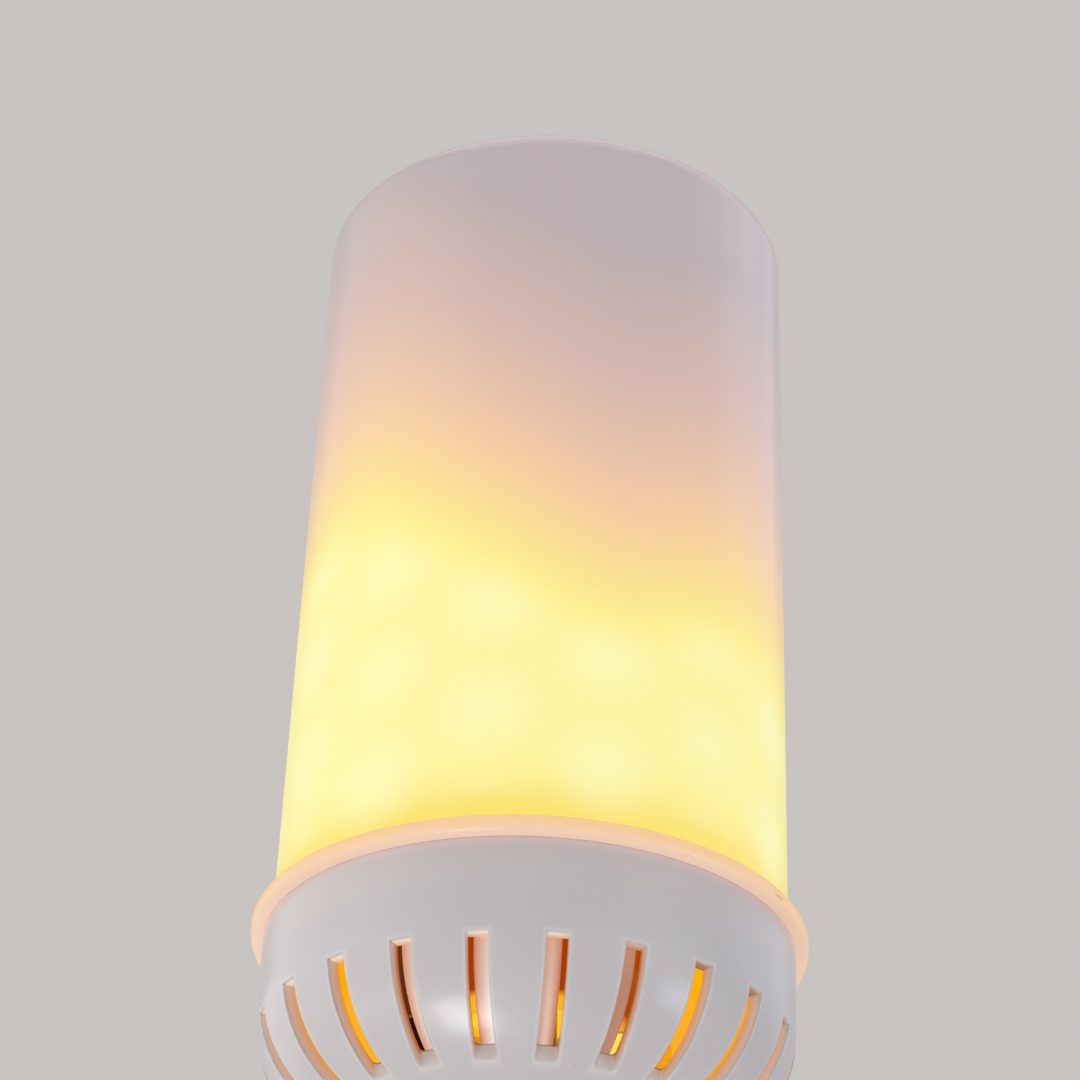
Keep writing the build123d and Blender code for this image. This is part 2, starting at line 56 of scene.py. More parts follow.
def linear(colour):
    """Linear red, green and blue of an sRGB hex colour, or of a colour that is linear already."""
    if not isinstance(colour, str):
        return tuple(colour)
    parts = [int(colour[i : i + 2], 16) / 255 for i in (1, 3, 5)]
    return tuple(c / 12.92 if c <= 0.04045 else ((c + 0.055) / 1.055) ** 2.4 for c in parts)


def fill(tree, node, inputs):
    """Sets a node's inputs, or links them to the nodes that feed them."""
    for key, value in inputs.items():
        socket = node.inputs[key]
        if isinstance(value, bpy.types.Node):
            value = next(output for output in value.outputs if output.enabled)
        if isinstance(value, bpy.types.NodeSocket):
            tree.links.new(value, socket)
        elif socket.type == "RGBA":
            socket.default_value = (*linear(value), 1)
        else:
            socket.default_value = value


def add_node(tree, kind, inputs=None, stops=None, **settings):
    """Adds a shader node with its settings, its ramp's stops and its inputs by name or number.

    A Map Range reads 0 between 1 and 2 and gives 3 to 4. A Mix goes from colour 6 to colour 7 by 0.
    """
    made = tree.nodes.new("ShaderNode" + kind)
    if kind == "Mix":
        made.data_type = "RGBA"
    for name, value in settings.items():
        setattr(made.color_ramp if name == "interpolation" else made, name, value)
    if stops:
        elements = made.color_ramp.elements
        elements[0].position, elements[-1].position = stops[0][0], stops[-1][0]
        for position, _ in stops[1:-1]:
            elements.new(position)
        for element, (_, colour) in zip(elements, stops):
            element.color = (*linear(colour), 1)
    fill(tree, made, inputs or {})
    return made


def new_material(name, mesh):
    """Gives a mesh a new material: its tree, its shader and the place on the piece in metres."""
    material = bpy.data.materials.new(name)
    mesh.materials.clear()
    mesh.materials.append(material)
    material.use_nodes = True
    tree = material.node_tree
    place = add_node(tree, "TexCoord").outputs["Object"]
    return tree, tree.nodes["Principled BSDF"], place


def grained(name, mesh, light, dark, grain, gloss, relief=0.0, stretch=(1, 1, 1), **sockets):
    """A material whose colour, gloss and surface change with one grain, its size in millimetres."""
    tree, shader, place = new_material(name, mesh)
    laid = add_node(tree, "Mapping", {"Vector": place, "Scale": stretch})
    noise = add_node(tree, "TexNoise", {"Vector": laid, "Scale": 1 / (grain * MM), "Detail": 3.0})
    tone = add_node(tree, "ValToRGB", {0: noise}, [(0.35, dark), (0.65, light)])
    sheen = add_node(tree, "MapRange", {0: noise, 1: 0.3, 2: 0.7, 3: gloss[0], 4: gloss[1]})
    bump = add_node(tree, "Bump", {"Height": noise, "Distance": relief * MM})
    fill(tree, shader, {"Base Color": tone, "Roughness": sheen, "Normal": bump, **sockets})
    return tree, shader, place


def tone_of(shader):
    """The node that gives a shader its colour so far."""
    return shader.inputs["Base Color"].links[0].from_node


def shine(tree, shader, light):
    """Lets a surface give off the lamps' light."""
    fill(tree, shader, {"Emission Color": light, "Emission Strength": 1.0})


def tin_ends(tree, shader, tone, offset, half_body):
    """Bright tin on what lies further from a part's middle than its body reaches."""
    beyond = add_node(tree, "Math", {0: offset}, operation="ABSOLUTE")
    end = add_node(tree, "Math", {0: beyond, 1: half_body}, operation="GREATER_THAN")
    tinned = add_node(tree, "Mix", {0: end, 6: tone, 7: TINNED})
    fill(tree, shader, {"Base Color": tinned, "Metallic": end})


def from_middle(tree, place, node):
    """The way from the middle of a CAD node's box to a place."""
    low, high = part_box(node)
    return add_node(tree, "VectorMath", {0: place, 1: (low + high) / 2}, operation="SUBTRACT")


def angle_round(tree, place):
    """A place's angle about the bulb's axis, from the front to the right."""
    axes = add_node(tree, "SeparateXYZ", {0: place}).outputs
    forward = add_node(tree, "Math", {0: axes["Y"], 1: -1.0}, operation="MULTIPLY")
    return add_node(tree, "Math", {0: axes["X"], 1: forward}, operation="ARCTAN2")


def from_axis(tree, place):
    """The level way from the bulb's axis to a place, and its length."""
    way = add_node(tree, "VectorMath", {0: place, 1: (1, 1, 0)}, operation="MULTIPLY")
    return way, add_node(tree, "VectorMath", {0: way}, operation="LENGTH")


def from_nearest(tree, value, first, step):
    """How far a value lies from the nearest of evenly spaced ones."""
    offset = add_node(tree, "Math", {0: value, 1: first}, operation="SUBTRACT")
    return add_node(tree, "Math", {0: offset, 1: step / 2, 2: -step / 2}, operation="WRAP")


def colour_property(name, description, hex_colour):
    """A colour that a user can change."""
    return FloatVectorProperty(
        name=name, description=description, subtype="COLOR", min=0, max=1, default=linear(hex_colour)
    )


def length_property(name, description, millimetres):
    """A length that a user can change."""
    return FloatProperty(
        name=name, description=description, subtype="DISTANCE", unit="LENGTH", default=millimetres * MM
    )


def angle_property(name, description, degrees):
    """An angle that a user can change."""
    return FloatProperty(name=name, description=description, subtype="ANGLE", default=radians(degrees))


def place_property(name, description, metres):
    """A place that a user can change."""
    return FloatVectorProperty(
        name=name, description=description, subtype="XYZ", unit="LENGTH", default=metres
    )


class CoverLook(bpy.types.PropertyGroup):
    opal: colour_property("Opal", "Colour of the cover itself, without its lamps", "#8A8688")
    flange: colour_property("Flange", "Colour of the lit flange", "#F6CEA8")
    spot: colour_property("Spot", "Colour in front of a burning lamp", "#FEF8B6")
    foot: colour_property("Foot", "Colour at the lit foot", "#FDE664")
    spot_radius: length_property("Spot radius", "How far a lamp's spot spreads on the cover", 8.0)
    foot_height: length_property("Foot height", "How far up the deep yellow foot reaches", 9.0)
    column_count: IntProperty(name="Lamp columns", description="Columns of lamps round the board", default=14)
    column_angle: angle_property("First column", "Angle of one column of lamps from the front", -7.0)
    spot_angle: angle_property("First spots", "Angle of that column's spots from the front", -8.7)
    row_pitch: length_property("Row pitch", "Distance between lamps in a column", 13.0)
    first_row: length_property("First row", "Height of the lowest lamp over the flange", 1.0)
    mark_angle: angle_property("Gate mark", "Angle of the flange's gate mark from the front", 61.7)
    mark_drop: length_property("Gate mark's drop", "How far the mark lies below the flange's top", 1.2)
    mark_length: length_property("Gate mark's length", "Half the mark's length round the flange", 1.3)
    mark_height: length_property("Gate mark's height", "Half the mark's height", 0.25)


class HousingLook(bpy.types.PropertyGroup):
    white: colour_property("White", "Colour of the housing's plastic", "#CDCACB")
    rim_glow: colour_property("Rim glow", "Lamps' light in the plastic at a vent's edge", "#50463F")
    rim_width: length_property("Rim width", "How far that light reaches from the edge", 0.6)
    vent_count: IntProperty(name="Vents", description="Vents round the housing", default=22)
    vent_width: length_property("Vent width", "Width of a vent", 2.35)
    vent_top: length_property("Vent top", "Height of the vents' upper ends", 44.335)
    vent_foot: length_property("Vent foot", "Height at which the vents run out of the skin", 33.28)
    wall_radius: length_property("Bowl round", "Radius of the bowl's rounding", 14.5)
    wall_middle: length_property("Round's centre", "Distance of that rounding's centre from the axis", 15.1)
    wall_level: length_property("Round's level", "Height of that rounding's centre", 46.247)
    wall_depth: length_property("Wall", "Thickness of the bowl's wall", 1.6)
    edge_radius: length_property("Edge radius", "Softness of the vents' edges", 0.4)


class GlowLook(bpy.types.PropertyGroup):
    amber: colour_property("Amber", "Lamps' light on the parts at the sides", "#F9A902")
    ember: colour_property("Ember", "Lamps' light on the parts in the middle", "#A03400")
    flame: colour_property("Flame", "Lamps' light through the carrier's hole", "#FAE359")


class CapLook(bpy.types.PropertyGroup):
    nickel: colour_property("Nickel", "Colour of the cap's plating", "#D3CEC6")
    mark_width: length_property("Mark width", "Width of the rolling marks", 0.5)


class StageLook(bpy.types.PropertyGroup):
    backdrop: colour_property("Backdrop", "Colour behind the bulb", "#C8C4C2")
    floor: colour_property("Floor", "Colour of the floor", "#D6D3D0")
    floor_drop: length_property("Floor drop", "How far the floor lies under the bulb", 600)
    floor_radius: length_property("Floor radius", "Radius of the floor", 6000)
    camera_place: place_property("Camera", "Where the camera stands", (0.015949, -0.364902, -0.115405))
    camera_aim: place_property("Aim", "What the camera looks at", (-0.000623, 0.000048, 0.109485))
    camera_roll: angle_property("Roll", "Camera's turn about its view", 2.26)
    lens: FloatProperty(
        name="Lens", description="Focal length on a 36 mm sensor", unit="CAMERA", default=120.1
    )


# The flame's edge, as degrees from the front and millimetres over the flange
flame_edge = [
    (-180, 44), (-150, 36), (-120, 33), (-95, 41), (-66, 48.5), (-48, 51), (-36, 49), (-24, 44.8), (-12, 41),
    (0, 38), (18, 32), (36, 35.5), (60, 38.5), (85, 34), (110, 42), (135, 50), (160, 48), (180, 44),
]
# The cover's colours from the flame up to the unlit top, by millimetres over the flame's edge
flame_fade = [
    (-12, "#FEF5A3"), (-8, "#FEF097"), (-2, "#FCE197"), (4, "#F9D4A2"), (10, "#F1CAAC"), (16, "#E6C3AF"),
    (24, "#D8BCB3"), (42, "#C0B3B5"),
]
# The flame's glare hides most of the gloss, which comes back between two levels over its edge
glare_low, glare_high, glare_gloss = -6 * MM, 14 * MM, 0.4


def gloss_at(level):
    """The share of the cover's gloss that shows at a level over the flame's edge."""
    share = (level - glare_low) / (glare_high - glare_low)
    return glare_gloss + (1 - glare_gloss) * min(max(share, 0), 1)


def lit(look, colour, gloss=1.0):
    """The light that the cover gives off to look a colour, beyond what it reflects of the studio."""
    # Shares of the light that the gloss lets through, and of the opal's colour that the studio shows
    through_gloss = 1 - 0.07 * gloss
    reflected = 0.76 + 0.17 * gloss
    pairs = zip(linear(colour), look.opal)
    return tuple(max(c - opal * reflected, 0) / through_gloss for c, opal in pairs)


def over_flame(tree, angle, height):
    """How far a place lies over the flame's edge, which a ramp holds as shares of full_height."""
    full_height = 100
    turn = add_node(tree, "MapRange", {0: angle, 1: -pi, 2: pi})
    stops = [((degrees + 180) / 360, (level / full_height,) * 3) for degrees, level in flame_edge]
    edge = add_node(tree, "ValToRGB", {0: turn}, stops, interpolation="B_SPLINE")
    edge = add_node(tree, "Math", {0: edge, 1: full_height * MM}, operation="MULTIPLY")
    return add_node(tree, "Math", {0: height, 1: edge}, operation="SUBTRACT")


def flame_colour(tree, look, height, above):
    """The cover's colours from the deep yellow foot through the flame to the unlit top."""
    lowest, highest = flame_fade[0][0], flame_fade[-1][0]
    span = add_node(tree, "MapRange", {0: above, 1: lowest * MM, 2: highest * MM})
    spread = highest - lowest
    stops = [((mm - lowest) / spread, lit(look, tone, gloss_at(mm * MM))) for mm, tone in flame_fade]
    body = add_node(tree, "ValToRGB", {0: span}, stops)
    foot_start = 0.5 * MM
    foot = add_node(
        tree, "MapRange", {0: height, 1: look.foot_height, 2: foot_start}, interpolation_type="SMOOTHSTEP"
    )
    return add_node(tree, "Mix", {0: foot, 6: body, 7: lit(look, look.foot, glare_gloss)})


def lamp_spots(tree, look, angle, height, above):
    """How strongly burning lamps show as spots. Every second column stands half a row higher."""
    column_step = 2 * pi / look.column_count
    families = []
    for column in (0, 1):
        aside = from_nearest(tree, angle, look.spot_angle + column * column_step, 2 * column_step)
        aside = add_node(tree, "Math", {0: aside, 1: cover_radius}, operation="MULTIPLY")
        over = from_nearest(tree, height, look.first_row + column * look.row_pitch / 2, look.row_pitch)
        offset = add_node(tree, "CombineXYZ", {0: aside, 1: over})
        distance = add_node(tree, "VectorMath", {0: offset}, operation="LENGTH")
        family = add_node(
            tree, "MapRange", {0: distance, 1: look.spot_radius, 2: 0.0}, interpolation_type="SMOOTHSTEP"
        )
        families.append(family)
    # The first columns' lowest lamps lie behind the flange, and don't show
    hidden_to, clear_from = 3 * MM, 7 * MM
    raised = add_node(tree, "MapRange", {0: height, 1: hidden_to, 2: clear_from})
    shown = add_node(tree, "Math", {0: families[0], 1: raised}, operation="MULTIPLY")
    spots = add_node(tree, "Math", {0: shown, 1: families[1]}, operation="MAXIMUM")
    # The spots fade out under the flame's edge
    full_to, none_from = -12 * MM, -6 * MM
    burning = add_node(tree, "MapRange", {0: above, 1: none_from, 2: full_to})
    return add_node(tree, "Math", {0: spots, 1: burning}, operation="MULTIPLY")


def flange_colour(tree, look, angle, height):
    """The lit flange's colours from its top down, with the gate mark on it."""
    edge_round = 0.2 * MM
    down = add_node(tree, "MapRange", {0: height, 1: -edge_round, 2: -flange_height})
    stops = [(0.0, lit(look, "#F5CE9C")), (0.5, lit(look, look.flange)), (1.0, lit(look, "#F3D2BA"))]
    ring = add_node(tree, "ValToRGB", {0: down}, stops)
    aside = add_node(tree, "Math", {0: angle, 1: look.mark_angle}, operation="SUBTRACT")
    over = add_node(tree, "Math", {0: height, 1: look.mark_drop}, operation="ADD")
    offset = add_node(tree, "CombineXYZ", {0: aside, 1: over})
    mark_size = (flange_radius / look.mark_length, 1 / look.mark_height, 0)
    offset = add_node(tree, "VectorMath", {0: offset, 1: mark_size}, operation="MULTIPLY")
    mark = add_node(tree, "VectorMath", {0: offset}, operation="LENGTH")
    mark = add_node(tree, "MapRange", {0: mark, 1: 1.0, 2: 0.4})
    return add_node(tree, "Mix", {0: mark, 6: ring, 7: lit(look, "#DAB48C")})


def inside_cover(tree, place, normal, height):
    """Where the cover's inner wall is, which looks to the axis, and the spigot below its flange."""
    inward = -10 * MM
    spigot_level, spigot_top = -2.2 * MM, -2.05 * MM
    way, _ = from_axis(tree, place)
    outward = add_node(tree, "VectorMath", {0: way, 1: normal}, operation="DOT_PRODUCT")
    hollow = add_node(tree, "Math", {0: outward, 1: inward}, operation="LESS_THAN")
    sunk = add_node(tree, "MapRange", {0: height, 1: spigot_top, 2: spigot_level})
    return add_node(tree, "Math", {0: hollow, 1: sunk}, operation="MAXIMUM")


class BULB_OT_cover(bpy.types.Operator):
    """Gives the opal cover its glow"""

    bl_idname = "bulb.cover"
    bl_label = "Opal cover"

    def execute(self, context):
        look = context.scene.bulb_cover
        # Opal polycarbonate, injection moulded: milky and glossy, and lit from within. The flame ends in a
        # soft ragged edge, with a paler spot in front of each lamp that burns.
        tree, shader, place = new_material("opal_polycarbonate_moulded", cad["diffuser_cover"])
        angle = angle_round(tree, place)
        level = add_node(tree, "SeparateXYZ", {0: place}).outputs["Z"]
        height = add_node(tree, "Math", {0: level, 1: flange_top}, operation="SUBTRACT")
        above = over_flame(tree, angle, height)
        flame = flame_colour(tree, look, height, above)
        spots = lamp_spots(tree, look, angle, height, above)
        spotted = add_node(tree, "Mix", {0: spots, 6: flame, 7: lit(look, look.spot, glare_gloss)})
        ledge = add_node(tree, "MapRange", {0: height, 1: -0.1 * MM, 2: 0.3 * MM})
        ring = flange_colour(tree, look, angle, height)
        light = add_node(tree, "Mix", {0: ledge, 6: ring, 7: spotted})

        # Painted shade darkens the flange's underside, and painted light from the lamps makes the inside
        # amber
        normal = add_node(tree, "TexCoord").outputs["Normal"]
        tilt = add_node(tree, "SeparateXYZ", {0: normal}).outputs["Z"]
        under = add_node(tree, "MapRange", {0: tilt, 1: -0.95, 2: -0.4, 3: 0.15, 4: 0.0})
        light = add_node(tree, "Mix", {0: under, 6: light, 7: "#9C8078"})
        inside = inside_cover(tree, place, normal, height)
        amber = [c * 0.85 for c in context.scene.bulb_glow.amber]
        light = add_node(tree, "Mix", {0: inside, 6: light, 7: amber})

        ripple_size, ripple_depth = 14 * MM, 0.03 * MM
        ripple = add_node(tree, "TexNoise", {"Vector": place, "Scale": 1 / ripple_size, "Detail": 1.0})
        bump = add_node(tree, "Bump", {"Height": ripple, "Distance": ripple_depth})
        glare = add_node(tree, "MapRange", {0: above, 1: glare_low, 2: glare_high, 3: glare_gloss, 4: 1.0})
        flange_gloss = 0.3
        gloss = add_node(tree, "MapRange", {0: height, 1: 0.2 * MM, 2: 0.5 * MM, 3: flange_gloss, 4: glare})
        shine(tree, shader, light)
        fill(tree, shader, {"Base Color": look.opal, "Specular IOR Level": 0.0, "Coat Weight": gloss})
        fill(tree, shader, {"Coat Roughness": 0.2, "Coat IOR": 1.58, "Coat Normal": bump})
        return {"FINISHED"}


def bowl_skin(tree, look, way, radius, level, normal):
    """How deep a place lies under the bowl's skin, and how squarely its face looks out of the bowl."""
    across = add_node(tree, "Math", {0: radius, 1: look.wall_middle}, operation="SUBTRACT")
    below = add_node(tree, "Math", {0: level, 1: look.wall_level}, operation="SUBTRACT")
    below = add_node(tree, "Math", {0: below, 1: 0.0}, operation="MINIMUM")
    reach = add_node(tree, "CombineXYZ", {0: across, 1: below})
    reach = add_node(tree, "VectorMath", {0: reach}, operation="LENGTH")
    depth = add_node(tree, "Math", {0: look.wall_radius, 1: reach}, operation="SUBTRACT")
    share = add_node(tree, "Math", {0: across, 1: radius}, operation="DIVIDE")
    outward = add_node(tree, "VectorMath", {0: way, "Scale": share}, operation="SCALE")
    drop = add_node(tree, "CombineXYZ", {2: below})
    outward = add_node(tree, "VectorMath", {0: outward, 1: drop}, operation="ADD")
    outward = add_node(tree, "VectorMath", {0: outward}, operation="NORMALIZE")
    return depth, add_node(tree, "VectorMath", {0: outward, 1: normal}, operation="DOT_PRODUCT")


def vent_rim(tree, look, angle, radius, level):
    """How near a place on the skin lies to a vent's edge: 1 at the edge, 0 past the rim's width."""
    vent_step = 2 * pi / look.vent_count
    aside = from_nearest(tree, angle, vent_step / 2, vent_step)
    aside = add_node(tree, "Math", {0: aside}, operation="ABSOLUTE")
    aside = add_node(tree, "Math", {0: aside, 1: radius, 2: -look.vent_width / 2}, operation="MULTIPLY_ADD")
    over = add_node(tree, "Math", {0: level, 1: look.vent_top}, operation="SUBTRACT")
    under = add_node(tree, "Math", {0: look.vent_foot, 1: level}, operation="SUBTRACT")
    off = add_node(tree, "Math", {0: aside, 1: over}, operation="MAXIMUM")
    off = add_node(tree, "Math", {0: off, 1: under}, operation="MAXIMUM")
    return add_node(tree, "MapRange", {0: off, 1: look.rim_width, 2: 0.0}, interpolation_type="SMOOTHSTEP")


def dusty_white(tree, look, place):
    """The housing's white, faintly clouded, with specks of dust on it."""
    cloud_size, dust_spacing = 22 * MM, 9 * MM
    cloud = add_node(tree, "TexNoise", {"Vector": place, "Scale": 1 / cloud_size})
    paler = [min(c * 1.02, 1) for c in look.white]
    duller = [c * 0.97 for c in look.white]
    skin = add_node(tree, "ValToRGB", {0: cloud}, [(0.35, duller), (0.65, paler)])
    dots = add_node(tree, "TexVoronoi", {"Vector": place, "Scale": 1 / dust_spacing}).outputs["Distance"]
    speck = add_node(tree, "MapRange", {0: dots, 1: 0.012, 2: 0.024, 3: 0.35, 4: 0.0})
    return add_node(tree, "Mix", {0: speck, 6: skin, 7: "#6E6A68"})


def skin_light(tree, look, angle, radius, level):
    """The lamps' light in the housing's skin, by the flange and round the vents."""
    glow_foot, glow_top, flange_glow = 48 * MM, 52 * MM, 1.1 * MM
    near_flange = add_node(tree, "MapRange", {0: level, 1: glow_foot, 2: glow_top})
    light = add_node(tree, "Mix", {0: near_flange, 6: BLACK, 7: "#321A08"})
    at_flange = add_node(tree, "MapRange", {0: level, 1: housing_rim - flange_glow, 2: housing_rim})
    light = add_node(tree, "Mix", {0: at_flange, 6: light, 7: "#683E4C"})
    rim = vent_rim(tree, look, angle, radius, level)
    return add_node(tree, "Mix", {0: rim, 6: light, 7: look.rim_glow})


def wall_light(tree, within, across, normal):
    """The lamps' light on the vents' walls: amber at the sides, brown in the middle, pale overhead."""
    by_skin = [(0.0, BLACK), (0.12, "#7C6A62")]
    side = [*by_skin, (0.3, "#A88878"), (0.65, "#B08A74"), (0.85, "#C88C48"), (1.0, "#DE9410")]
    middle = [*by_skin, (0.3, "#A07C6A"), (0.6, "#A0704E"), (0.85, "#8E4A20"), (1.0, "#8A3E0C")]
    top = [(0.0, "#6A6660"), (0.25, "#C4BDB5"), (0.6, "#C8B3A3"), (1.0, "#D09A64")]
    side, middle, top = (add_node(tree, "ValToRGB", {0: within}, stops) for stops in (side, middle, top))
    bright_to, shaded_from = 4 * MM, 18 * MM
    shaded = add_node(tree, "MapRange", {0: across, 1: bright_to, 2: shaded_from})
    top = add_node(tree, "Mix", {0: shaded, 6: top, 7: "#6E5048"})
    middle_to, side_from = 12 * MM, 17 * MM
    aside = add_node(tree, "Math", {0: across}, operation="ABSOLUTE")
    aside = add_node(tree, "MapRange", {0: aside, 1: middle_to, 2: side_from})
    light = add_node(tree, "Mix", {0: aside, 6: middle, 7: side})
    tilt = add_node(tree, "SeparateXYZ", {0: normal}).outputs["Z"]
    looks_down = add_node(tree, "MapRange", {0: tilt, 1: -0.7, 2: -0.9})
    return add_node(tree, "Mix", {0: looks_down, 6: light, 7: top})


def pillar_light(tree, angle, level):
    """The lamps' light on the ends of the pillars and ribs, by degrees from the front."""
    brown, umber, warm, fair, pale = "#B0521C", "#9A5E44", "#BC8670", "#CBAA9A", "#D9CCC6"
    tones = [
        (-25.4, warm), (-22.5, pale), (-9.7, brown), (-6.2, pale), (5.6, warm), (7.5, fair), (9.3, brown),
        (21.7, warm), (23.5, umber),
    ]
    widest = 30
    sweep = add_node(tree, "MapRange", {0: angle, 1: -radians(widest), 2: radians(widest)})
    stops = [((degrees + widest) / (2 * widest), tone) for degrees, tone in tones]
    light = add_node(tree, "ValToRGB", {0: sweep}, stops)
    # Their upper ends are browner
    pale_to, brown_from, most_brown = 38 * MM, 45 * MM, 0.45
    upper = add_node(tree, "MapRange", {0: level, 1: pale_to, 2: brown_from, 4: most_brown})
    return add_node(tree, "Mix", {0: upper, 6: light, 7: "#B26A2C"})


class BULB_OT_housing(bpy.types.Operator):
    """Gives the vented housing its white plastic, warm inside the vents"""

    bl_idname = "bulb.housing"
    bl_label = "Vented housing"

    def execute(self, context):
        look = context.scene.bulb_housing
        # White polycarbonate, injection moulded in a polished mould: glossy and even, with a little dust.
        # It is thin enough for the lamps' light to warm the vents' rims and walls.
        tree, shader, place = new_material("white_polycarbonate_gloss", cad["vent_housing"])
        axes = add_node(tree, "SeparateXYZ", {0: place}).outputs
        across, level = axes["X"], axes["Z"]
        normal = add_node(tree, "TexCoord").outputs["Normal"]
        angle = angle_round(tree, place)
        way, radius = from_axis(tree, place)
        depth, facing = bowl_skin(tree, look, way, radius, level, normal)

        # Walls of the vents look sideways, the ends of the pillars and ribs look out
        sideways = add_node(tree, "MapRange", {0: facing, 1: 0.4, 2: 0.2}, interpolation_type="SMOOTHSTEP")
        inner = add_node(tree, "MapRange", {0: depth, 1: 0.05 * MM, 2: 0.5 * MM})
        wall = add_node(tree, "Math", {0: sideways, 1: inner}, operation="MULTIPLY")
        within = add_node(tree, "MapRange", {0: depth, 1: 0.0, 2: look.wall_depth})
        wall_back = look.wall_depth - 0.1 * MM
        behind = add_node(tree, "MapRange", {0: depth, 1: wall_back - 0.05 * MM, 2: wall_back + 0.05 * MM})
        end = add_node(tree, "MapRange", {0: facing, 1: 0.6, 2: 0.8})
        end = add_node(tree, "Math", {0: end, 1: behind}, operation="MULTIPLY")

        # Painted shade: the vents' walls darken from the skin's white inwards, and the ends of the pillars
        # and ribs behind the wall are a darker grey
        wall_shade_stops = [(0.0, look.white), (0.25, "#9A908C"), (0.8, "#7A6A60"), (1.0, "#6A5040")]
        wall_painted_shade = add_node(tree, "ValToRGB", {0: within}, wall_shade_stops)
        white = dusty_white(tree, look, place)
        colour = add_node(tree, "Mix", {0: wall, 6: white, 7: wall_painted_shade})
        colour = add_node(tree, "Mix", {0: behind, 6: colour, 7: "#807870"})

        light = skin_light(tree, look, angle, radius, level)
        on_wall = wall_light(tree, within, across, normal)
        light = add_node(tree, "Mix", {0: wall, 6: light, 7: on_wall})
        on_end = pillar_light(tree, angle, level)
        light = add_node(tree, "Mix", {0: end, 6: light, 7: on_end})

        soft_edge = add_node(tree, "Bevel", {"Radius": look.edge_radius}, samples=4)
        ripple_size, ripple_depth = 6 * MM, 0.01 * MM
        ripple = add_node(tree, "TexNoise", {"Vector": place, "Scale": 1 / ripple_size, "Detail": 1.0})
        bump = add_node(tree, "Bump", {"Height": ripple, "Distance": ripple_depth, "Normal": soft_edge})
        sheen = add_node(tree, "MapRange", {0: ripple, 3: 0.2, 4: 0.28})
        shine(tree, shader, light)
        fill(tree, shader, {"Base Color": colour, "Roughness": sheen, "Normal": bump, "IOR": 1.58})
        return {"FINISHED"}


def rolled_cap(look, smudge_and_shade_tone):
    """The cap's shell, with its thread."""
    # Nickel-plated brass, drawn and thread-rolled: bright, with marks round the axis, painted shade in the
    # thread's roots and a painted highlight on its crests. Real rolling marks are finer, and are drawn coarse
    # enough to show.
    tree, shader, place = new_material("nickel_plated_brass_rolled", cad["screw_cap"])
    level = add_node(tree, "SeparateXYZ", {0: place}).outputs["Z"]
    _, radius = from_axis(tree, place)
    round_axis = add_node(tree, "CombineXYZ", {0: radius, 2: level})
    marks = add_node(tree, "TexNoise", {"Vector": round_axis, "Scale": 1 / look.mark_width})
    smudge_size, mark_depth = 6 * MM, 0.004 * MM
    smudge = add_node(tree, "TexNoise", {"Vector": place, "Scale": 1 / smudge_size})
    root_radius, crest_radius = 12.0 * MM, 13.1 * MM
    crest = add_node(tree, "MapRange", {0: radius, 1: root_radius, 2: crest_radius})
    crest_highlight = [min(c * 1.18, 1) for c in look.nickel]
    stops = [(0.0, smudge_and_shade_tone), (0.35, look.nickel), (0.85, look.nickel), (1.0, crest_highlight)]
    shaded_plating = add_node(tree, "ValToRGB", {0: crest}, stops)
    stain = add_node(tree, "MapRange", {0: smudge, 1: 0.5, 2: 0.75, 4: 0.3})
    stained = add_node(tree, "Mix", {0: stain, 6: shaded_plating, 7: "#9C917F"})
    sheen = add_node(tree, "MapRange", {0: smudge, 1: 0.3, 2: 0.7, 3: 0.3, 4: 0.38})
    bump = add_node(tree, "Bump", {"Height": marks, "Distance": mark_depth})
    fill(tree, shader, {"Base Color": stained, "Roughness": sheen, "Normal": bump, "Metallic": 1.0})


def turned_contact(look, smudge_and_shade_tone):
    """The cap's end contact."""
    # The same plating on the turned rivet: bright, with fine rings from turning and dull smudges
    tree, shader, place = new_material("nickel_plated_brass_turned", cad["end_contact"])
    ring_pitch, ring_depth, smudge_size = 0.3 * MM, 0.01 * MM, 2 * MM
    rings = add_node(
        tree, "TexWave", {"Vector": place, "Scale": WAVE / ring_pitch, "Distortion": 0.6, "Detail": 1.0},
        wave_type="RINGS", rings_direction="Z",
    )
    smudge = add_node(tree, "TexNoise", {"Vector": place, "Scale": 1 / smudge_size, "Detail": 4.0})
    tone = add_node(tree, "ValToRGB", {0: smudge}, [(0.35, smudge_and_shade_tone), (0.6, look.nickel)])
    sheen = add_node(tree, "MapRange", {0: rings, 3: 0.22, 4: 0.4})
    bump = add_node(tree, "Bump", {"Height": rings, "Distance": ring_depth})
    fill(tree, shader, {"Base Color": tone, "Roughness": sheen, "Normal": bump, "Metallic": 1.0})


class BULB_OT_cap(bpy.types.Operator):
    """Dresses the screw cap, its insulator and its end contact"""

    bl_idname = "bulb.cap"
    bl_label = "Screw cap"

    def execute(self, context):
        look = context.scene.bulb_cap
        smudge_and_shade_tone = [c * 0.62 for c in look.nickel]
        rolled_cap(look, smudge_and_shade_tone)
        turned_contact(look, smudge_and_shade_tone)
        # Black phenolic, press moulded: dark with brownish flow marks and a dull gloss
        grained(
            "black_phenolic_pressed", cad["cap_insulator"], "#26211E", "#16120F", 1.6, (0.28, 0.45), 0.03,
            IOR=1.6,
        )
        return {"FINISHED"}


def seeping_light(tree, glow, place):
    """The lamps' light that seeps along the carrier: amber at its sides, dim and red in the middle."""
    across = add_node(tree, "SeparateXYZ", {0: place}).outputs["X"]
    sweep = add_node(tree, "MapRange", {0: across, 1: -tube_radius, 2: tube_radius})
    stops = [
        (0.1, glow.amber), (0.14, "#640C00"), (0.24, "#300A04"), (0.33, glow.ember), (0.85, glow.ember),
        (0.89, glow.amber),
    ]
    return add_node(tree, "ValToRGB", {0: sweep}, stops)


